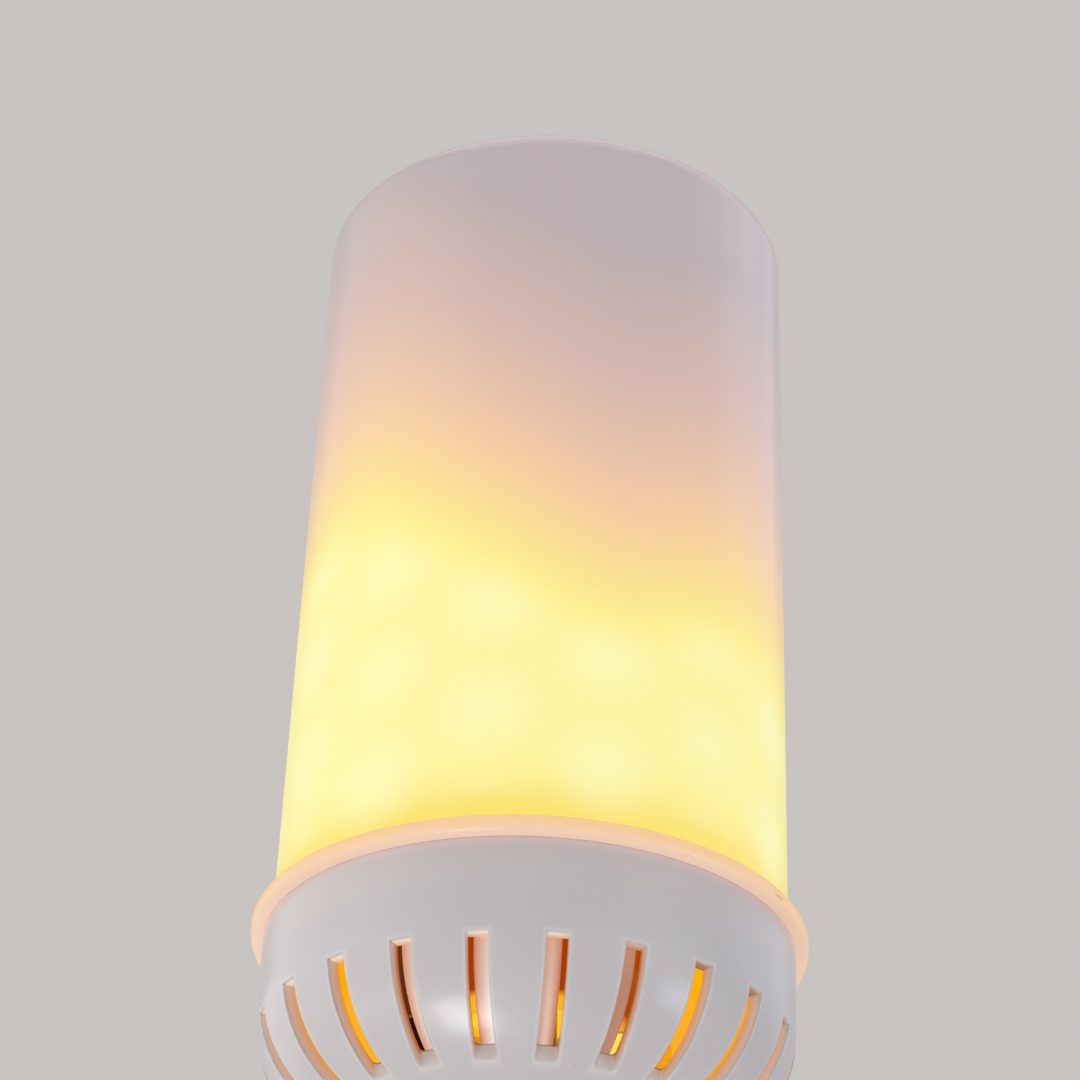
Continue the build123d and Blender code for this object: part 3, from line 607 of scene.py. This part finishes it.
def nylon_base(glow):
    """The carrier's base, with the lamps' light in its hole."""
    # Black glass-filled nylon, moulded: dull, with pale fibre flecks, reddish where the lamps' light seeps
    # along it and amber at its sides
    tree, shader, place = grained(
        "black_glass_filled_nylon", cad["carrier_base"], "#1E1918", "#14100F", 0.5, (0.42, 0.6), 0.02,
        (1, 1, 3), IOR=1.53,
    )
    _, radius = from_axis(tree, place)
    hole_radius, glow_radius = 10.2 * MM, 12 * MM
    hole = add_node(tree, "MapRange", {0: radius, 1: glow_radius, 2: hole_radius})
    seep = seeping_light(tree, glow, place)
    light = add_node(tree, "Mix", {0: hole, 6: seep, 7: "#F8B419"})
    shine(tree, shader, light)


def banded_tube(glow):
    """The tube that the lamp board is rolled on."""
    # White ABS, moulded: soft gloss with faint flow lines, amber in the bore, which the lamps' light
    # fills, and black on its outside below the board as painted shade
    tree, shader, place = grained(
        "white_abs_moulded", cad["board_tube"], "#E6E2DC", "#DCD7CF", 2.5, (0.32, 0.46), 0.02,
        (1, 1, 0.2), IOR=1.54,
    )
    _, radius = from_axis(tree, place)
    outside = add_node(tree, "MapRange", {0: radius, 1: tube_radius - 1.4 * MM, 2: tube_radius - 0.6 * MM})
    seep = seeping_light(tree, glow, place)
    light = add_node(tree, "Mix", {0: outside, 6: "#E19116", 7: seep})
    level = add_node(tree, "SeparateXYZ", {0: place}).outputs["Z"]
    shade_band = add_node(tree, "Math", {0: level, 1: board_foot}, operation="LESS_THAN")
    shade_band = add_node(tree, "Math", {0: shade_band, 1: outside}, operation="MULTIPLY")
    shade_banded_tone = add_node(tree, "Mix", {0: shade_band, 6: tone_of(shader), 7: "#1A1412"})
    fill(tree, shader, {"Base Color": shade_banded_tone})
    shine(tree, shader, light)


class BULB_OT_carrier(bpy.types.Operator):
    """Dresses the carrier: its base, its screws, the board's tube and the tube's cap"""

    bl_idname = "bulb.carrier"
    bl_label = "Carrier"

    def execute(self, context):
        glow = context.scene.bulb_glow
        nylon_base(glow)
        banded_tube(glow)
        # Zinc-plated steel, rolled: bluish bright with a faint yellow passivation
        grained(
            "zinc_plated_steel", cad["carrier_screws"], "#C9CCCB", "#A8A68F", 0.8, (0.25, 0.42), 0.01,
            Metallic=1.0,
        )
        # The tube's ABS, unlit, with sink marks from its thicker middle
        grained("white_abs_plain", cad["tube_cap"], "#E6E2DC", "#DAD5CD", 4.0, (0.3, 0.45), 0.05, IOR=1.54)
        return {"FINISHED"}


def rolled_board(look, column_step):
    """The flexible board, with its tracks between the columns of lamps."""
    # Polyimide film under white lacquer, rolled: matt white, with the tracks beneath it as slightly
    # raised runs between the columns and copper showing warm through the lacquer
    tree, shader, place = grained(
        "white_lacquered_polyimide", cad["led_flex_board"], "#F0ECE4", "#E6E0D4", 0.7, (0.45, 0.6), 0.01,
        IOR=1.5,
    )
    aside = from_nearest(tree, angle_round(tree, place), look.column_angle, column_step)
    aside = add_node(tree, "Math", {0: aside}, operation="ABSOLUTE")
    gap = add_node(tree, "MapRange", {0: aside, 1: column_step * 0.34, 2: column_step * 0.36})
    track_pitch, track_height = 1.6 * MM, 0.03 * MM
    runs = add_node(tree, "TexWave", {"Vector": place, "Scale": WAVE / track_pitch}, bands_direction="Z")
    runs = add_node(tree, "MapRange", {0: runs, 1: 0.55, 2: 0.65, 4: 0.3})
    tracks = add_node(tree, "Math", {0: runs, 1: gap}, operation="MULTIPLY")
    tracked = add_node(tree, "Mix", {0: tracks, 6: tone_of(shader), 7: "#C79A62"})
    bump = add_node(tree, "Bump", {"Height": tracks, "Distance": track_height})
    fill(tree, shader, {"Base Color": tracked, "Normal": bump})


def lamp_packages():
    """The lamps, whose windows lie between two distances from the axis."""
    window_low, window_high = 20.93 * MM, 21.03 * MM
    # Lamp packages: a white moulded frame round a window of yellow phosphor in silicone, which shines
    tree, shader, place = grained(
        "lamp_package_phosphor", cad["flame_leds"], "#F2F0EA", "#E8E4DA", 0.4, (0.3, 0.45), 0.005, IOR=1.5
    )
    _, radius = from_axis(tree, place)
    low = add_node(tree, "Math", {0: radius, 1: window_low}, operation="GREATER_THAN")
    high = add_node(tree, "Math", {0: radius, 1: window_high}, operation="LESS_THAN")
    window = add_node(tree, "Math", {0: low, 1: high}, operation="MULTIPLY")
    phosphor = add_node(tree, "Mix", {0: window, 6: tone_of(shader), 7: "#F4C64A"})
    light = add_node(tree, "Mix", {0: window, 6: BLACK, 7: "#FEEFA0"})
    fill(tree, shader, {"Base Color": phosphor})
    shine(tree, shader, light)


def series_resistors(look, column_step):
    """The resistors on the flexible board, one in every second column."""
    half_body, seat_radius = 0.7 * MM, 20.6 * MM
    # Chip resistors: black glazed tops between tinned ends
    tree, shader, place = grained(
        "chip_resistor_glazed", cad["flex_resistors"], "#2A2826", "#1D1B1A", 0.3, (0.25, 0.35), 0.005, IOR=1.5
    )
    first = look.column_angle + column_step
    aside = from_nearest(tree, angle_round(tree, place), first, 2 * column_step)
    tin_ends(tree, shader, tone_of(shader), aside, half_body / seat_radius)


class BULB_OT_lamp_board(bpy.types.Operator):
    """Dresses the rolled board, its lamps and its resistors"""

    bl_idname = "bulb.lamp_board"
    bl_label = "Lamp board"

    def execute(self, context):
        look = context.scene.bulb_cover
        column_step = 2 * pi / look.column_count
        rolled_board(look, column_step)
        lamp_packages()
        series_resistors(look, column_step)
        return {"FINISHED"}


def epoxy_board():
    """The driver's board, with the lamps' light on its upper end."""
    # Glass epoxy, etched and lacquered green: glossy and faintly mottled, with the copper runs raised a
    # little and paler under the lacquer
    tree, shader, place = grained(
        "glass_epoxy_lacquered", cad["driver_board"], "#1D6A3C", "#17582F", 0.6, (0.25, 0.4), 0.01, IOR=1.55
    )
    upright = add_node(tree, "Mapping", {"Vector": place, "Rotation": (pi / 2, 0, 0)})
    run_pitch, run_height = 2.4 * MM, 0.035 * MM
    runs = add_node(
        tree, "TexBrick",
        {
            "Vector": upright, "Scale": BRICK_ROW / run_pitch, "Mortar Size": 0.03, "Mortar Smooth": 0.3,
            "Color1": BLACK, "Color2": BLACK, "Mortar": "#FFFFFF",
        },
    )
    tracked = add_node(tree, "Mix", {0: runs, 6: tone_of(shader), 7: "#3C8F56"})
    bump = add_node(tree, "Bump", {"Height": runs, "Distance": run_height})
    axes = add_node(tree, "SeparateXYZ", {0: place}).outputs
    unlit_to, lit_from = 30 * MM, 44 * MM
    upper = add_node(tree, "MapRange", {0: axes["Z"], 1: unlit_to, 2: lit_from})
    orange_to, amber_from = 11 * MM, 13 * MM
    right = add_node(tree, "MapRange", {0: axes["X"], 1: orange_to, 2: amber_from})
    light = add_node(tree, "Mix", {0: right, 6: "#D0761A", 7: "#F09410"})
    light = add_node(tree, "Mix", {0: upper, 6: BLACK, 7: light})
    fill(tree, shader, {"Base Color": tracked, "Normal": bump})
    shine(tree, shader, light)


def sleeved_can(node, light, end_tone):
    """A capacitor that lies along Y, with the lamps' light on its bare end and a little on its sleeve."""
    low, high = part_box(node)
    can_radius = (high.x - low.x) / 2
    bare_radius, end_depth, half_stripe = can_radius * 0.88, can_radius * 0.2, 0.5
    # An aluminium can in a shrunk sleeve: dark and glossy with a pale stripe, and bare at its end
    tree, shader, place = grained(
        node + "_shrunk_sleeve", cad[node], "#23262E", "#1A1C22", 0.5, (0.18, 0.3), 0.01, IOR=1.53
    )
    local = from_middle(tree, place, node)
    axes = add_node(tree, "SeparateXYZ", {0: local}).outputs
    turn = add_node(tree, "Math", {0: axes["X"], 1: axes["Z"]}, operation="ARCTAN2")
    turn = add_node(tree, "Math", {0: turn}, operation="ABSOLUTE")
    stripe = add_node(tree, "Math", {0: turn, 1: half_stripe}, operation="LESS_THAN")
    across = add_node(tree, "VectorMath", {0: local, 1: (1, 0, 1)}, operation="MULTIPLY")
    off_axis = add_node(tree, "VectorMath", {0: across}, operation="LENGTH")
    near_axis = add_node(tree, "Math", {0: off_axis, 1: bare_radius}, operation="LESS_THAN")
    end_level = (low.y - high.y) / 2 + end_depth
    front = add_node(tree, "Math", {0: axes["Y"], 1: end_level}, operation="LESS_THAN")
    bare = add_node(tree, "Math", {0: near_axis, 1: front}, operation="MULTIPLY")
    striped = add_node(tree, "Mix", {0: stripe, 6: tone_of(shader), 7: "#A9B0B8"})
    canned = add_node(tree, "Mix", {0: bare, 6: striped, 7: end_tone})
    on_sleeve = [c * 0.2 for c in linear(light)]
    light = add_node(tree, "Mix", {0: bare, 6: on_sleeve, 7: light})
    fill(tree, shader, {"Base Color": canned, "Metallic": bare})
    shine(tree, shader, light)


def wound_copper():
    """The choke's winding."""
    # Enamelled copper wire, wound across the core's axis: glossy red-brown turns with painted shade between
    # them
    tree, shader, place = new_material("enamelled_copper_wound", cad["choke_winding"])
    wire_pitch, wire_height = 0.4 * MM, 0.15 * MM
    turns = add_node(
        tree, "TexWave", {"Vector": place, "Scale": WAVE / wire_pitch, "Distortion": 0.4}, bands_direction="Y"
    )
    tone = add_node(tree, "ValToRGB", {0: turns}, [(0.1, "#5E2A12"), (0.7, "#C2703A")])
    bump = add_node(tree, "Bump", {"Height": turns, "Distance": wire_height})
    fill(tree, shader, {"Base Color": tone, "Normal": bump, "Metallic": 0.8, "Roughness": 0.28})


def leaded_body(node, side, half_body):
    """A chip or diode, whose leads come out along one axis past its body."""
    # Moulded epoxy on tinned copper leads: dull black with a fine grain, bright at the leads
    tree, shader, place = grained(
        node + "_moulded_epoxy", cad[node], "#2B2A2B", "#1E1D1E", 0.2, (0.4, 0.55), 0.01, IOR=1.55
    )
    aside = add_node(tree, "SeparateXYZ", {0: from_middle(tree, place, node)}).outputs[side]
    tin_ends(tree, shader, tone_of(shader), aside, half_body)


def banded_rod():
    """The fuse resistor, which stands upright."""
    half_rod, half_body = 3.2 * MM, 3.22 * MM
    # Lacquered ceramic rod: glossy and a little uneven, with colour bands, on tinned leads
    tree, shader, place = new_material("ceramic_rod_lacquered", cad["fuse_resistor"])
    level = add_node(tree, "SeparateXYZ", {0: from_middle(tree, place, "fuse_resistor")}).outputs["Z"]
    along = add_node(tree, "MapRange", {0: level, 1: -half_rod, 2: half_rod})
    rod, brown, black, grey, gold = "#7E98A6", "#6B4226", "#1C1B1A", "#C9C2B4", "#B08A3A"
    stops = [
        (0.0, rod), (0.16, brown), (0.26, rod), (0.34, black), (0.44, rod), (0.52, grey), (0.62, rod),
        (0.76, gold), (0.86, rod),
    ]
    bands = add_node(tree, "ValToRGB", {0: along}, stops, interpolation="CONSTANT")
    tin_ends(tree, shader, bands, level, half_body)
    drip_size, drip_depth = 1.2 * MM, 0.05 * MM
    drips = add_node(tree, "TexNoise", {"Vector": place, "Scale": 1 / drip_size})
    bump = add_node(tree, "Bump", {"Height": drips, "Distance": drip_depth})
    fill(tree, shader, {"Roughness": 0.3, "Normal": bump})


class BULB_OT_driver(bpy.types.Operator):
    """Dresses the driver board and the parts on it"""

    bl_idname = "bulb.driver"
    bl_label = "Driver board"

    def execute(self, context):
        epoxy_board()
        # The bulk can's bare end is dark as painted shade; the smaller can's end catches the lamps' light
        sleeved_can("bulk_capacitor", "#2A0802", "#2A2422")
        sleeved_can("output_capacitor", context.scene.bulb_glow.flame, "#CFCFCD")
        # Sintered ferrite: dark grey, gritty and dull
        grained("ferrite_sintered", cad["choke_core"], "#3A3735", "#2A2826", 0.25, (0.5, 0.7), 0.02)
        wound_copper()
        # Dipped epoxy: reddish brown with a thick uneven gloss
        grained(
            "dipped_epoxy_brown", cad["film_capacitor"], "#B4532A", "#9C4322", 3.0, (0.15, 0.28), 0.2,
            IOR=1.55,
        )
        for node in ("controller_chip", "driver_chip", "bridge_rectifier"):
            leaded_body(node, "Z", 1.96 * MM)
        leaded_body("freewheel_diode", "X", 2.16 * MM)
        leaded_body("chip_passives", "X", 0.7 * MM)
        banded_rod()
        return {"FINISHED"}


class BULB_OT_wires(bpy.types.Operator):
    """Dresses the mains wires and the lamp wires"""

    bl_idname = "bulb.wires"
    bl_label = "Wires"

    def execute(self, context):
        red, black, white = ("#B0221E", "#981A17"), ("#2A2A2C", "#1D1D1F"), ("#E4E1DA", "#D8D4CB")
        colours = {
            "live_wire": red, "neutral_wire": black, "lamp_wire_positive": red, "lamp_wire_negative": white
        }
        # PVC insulation, extruded: even and slightly glossy, with faint draw lines
        for node, (light, dark) in colours.items():
            grained(
                node + "_pvc_extruded", cad[node], light, dark, 0.8, (0.3, 0.42), 0.01, (1, 1, 0.3), IOR=1.54
            )
        return {"FINISHED"}


# The studio's lamps: name, azimuth from the front and elevation in degrees, distance, width and height in
# metres, power in watts, tint, and whether it lights the bulb or is only a card that the gloss shows
studio_lamps = [
    ("low_front", -37.6, -56.6, 0.5, (0.123, 0.25), 0.68, "#FFFFFF", True),
    ("low_left", -70, -40, 1.2, (0.8, 0.8), 2.2, "#FFFFFF", True),
    ("front", 50, 8, 1.5, (1.4, 1.0), 2.3, "#F4F1FF", True),
    ("low_right", 71, -17, 1.0, (0.3, 0.35), 1.15, "#E9ECFF", True),
    ("left", -95, 5, 1.2, (2.4, 1.1), 5.0, "#FFFAF6", True),
    ("left_card", -85, 28, 1.2, (2.6, 0.9), 2.0, "#F0F6FF", False),
    ("right", 120, 26, 1.0, (0.81, 0.7), 0.85, "#CFE2FF", True),
    ("rim_card", 100, 52, 1.0, (0.6, 0.38), 0.43, "#F4F0FF", False),
    ("back", 180, -22, 1.2, (1.6, 0.7), 3.6, "#FFFFFF", True),
    ("top", 0, 80, 1.2, (1.2, 1.2), 3.4, "#FFFFFF", True),
]


def studio_world(look):
    """Soft light from all round, and the plain backdrop that the camera and the gloss see."""
    world = bpy.data.worlds.new("studio")
    world.use_nodes = True
    tree = world.node_tree
    tree.nodes.clear()
    path = add_node(tree, "LightPath").outputs
    rays = {0: path["Is Camera Ray"], 1: path["Is Glossy Ray"]}
    seen = add_node(tree, "Math", rays, operation="MAXIMUM")
    soft = add_node(tree, "Background", {"Color": "#FFFFFF", "Strength": 0.55})
    wall = add_node(tree, "Background", {"Color": look.backdrop})
    mix = add_node(tree, "MixShader", {0: seen, 1: soft, 2: wall})
    add_node(tree, "OutputWorld", {"Surface": mix})
    return world


def lay_floor(scene, look):
    """The round floor, far down because the camera looks up."""
    shape = bmesh.new()
    bmesh.ops.create_circle(shape, cap_ends=True, segments=96, radius=look.floor_radius)
    bmesh.ops.translate(shape, verts=shape.verts, vec=(0, 0, -look.floor_drop))
    mesh = bpy.data.meshes.new("floor")
    shape.to_mesh(mesh)
    shape.free()
    floor = bpy.data.objects.new("floor", mesh)
    scene.collection.objects.link(floor)
    # Painted board: pale and matt, with a faint roller texture
    grained("painted_board_matt", mesh, look.floor, "#D2CFCC", 30.0, (0.7, 0.8), 0.1)


def hang_lamp(scene, name, azimuth, elevation, distance, size, power, tint, lights):
    """One studio lamp, which looks at the bulb a little over its flange."""
    target = Vector((0, 0, 60 * MM))
    level = cos(radians(elevation))
    aim = Vector((sin(radians(azimuth)) * level, -cos(radians(azimuth)) * level, sin(radians(elevation))))
    data = bpy.data.lights.new(name, "AREA")
    data.shape = "RECTANGLE"
    data.size, data.size_y = size
    data.energy = power
    data.color = linear(tint)
    lamp = bpy.data.objects.new(name, data)
    lamp.visible_camera = False
    lamp.visible_diffuse = lights
    facing = aim.to_track_quat("Z", "Y").to_matrix().to_4x4()
    lamp.matrix_world = Matrix.Translation(target + aim * distance) @ facing
    scene.collection.objects.link(lamp)


def stand_camera(scene, look):
    """The camera, at the photograph's viewing angle."""
    camera = bpy.data.objects.new("camera", bpy.data.cameras.new("camera"))
    scene.collection.objects.link(camera)
    camera.data.lens = look.lens
    camera.data.clip_start = 10 * MM
    aim = Vector(look.camera_aim) - Vector(look.camera_place)
    facing = aim.to_track_quat("-Z", "Y") @ Quaternion((0, 0, 1), look.camera_roll)
    camera.matrix_world = Matrix.Translation(look.camera_place) @ facing.to_matrix().to_4x4()
    scene.camera = camera


class BULB_OT_stage(bpy.types.Operator):
    """Sets up the floor, the backdrop, the lamps and the camera"""

    bl_idname = "bulb.stage"
    bl_label = "Stage"

    def execute(self, context):
        scene = context.scene
        look = scene.bulb_stage
        scene.world = studio_world(look)
        lay_floor(scene, look)
        for lamp in studio_lamps:
            hang_lamp(scene, *lamp)
        stand_camera(scene, look)
        scene.view_settings.view_transform = "Standard"
        return {"FINISHED"}


property_groups = {
    "bulb_cover": CoverLook,
    "bulb_housing": HousingLook,
    "bulb_glow": GlowLook,
    "bulb_cap": CapLook,
    "bulb_stage": StageLook,
}
operators = (
    BULB_OT_cover,
    BULB_OT_housing,
    BULB_OT_cap,
    BULB_OT_carrier,
    BULB_OT_lamp_board,
    BULB_OT_driver,
    BULB_OT_wires,
    BULB_OT_stage,
)


class BULB_PT_panel(bpy.types.Panel):
    bl_label = "Flame effect bulb"
    bl_idname = "BULB_PT_panel"
    bl_space_type = "VIEW_3D"
    bl_region_type = "UI"
    bl_category = "Flame bulb"

    def draw(self, context):
        for operator in operators:
            self.layout.operator(operator.bl_idname)
        for name, group in property_groups.items():
            column = self.layout.column(heading=name)
            for key in group.__annotations__:
                column.prop(getattr(context.scene, name), key)


def register():
    for name, group in property_groups.items():
        bpy.utils.register_class(group)
        setattr(bpy.types.Scene, name, PointerProperty(type=group))
    for part in (*operators, BULB_PT_panel):
        bpy.utils.register_class(part)


def unregister():
    for part in reversed((*operators, BULB_PT_panel)):
        bpy.utils.unregister_class(part)
    for name, group in property_groups.items():
        delattr(bpy.types.Scene, name)
        bpy.utils.unregister_class(group)


def main():
    register()
    bpy.ops.bulb.cover()
    bpy.ops.bulb.housing()
    bpy.ops.bulb.cap()
    bpy.ops.bulb.carrier()
    bpy.ops.bulb.lamp_board()
    bpy.ops.bulb.driver()
    bpy.ops.bulb.wires()
    bpy.ops.bulb.stage()


if __name__ == "__main__":
    main()
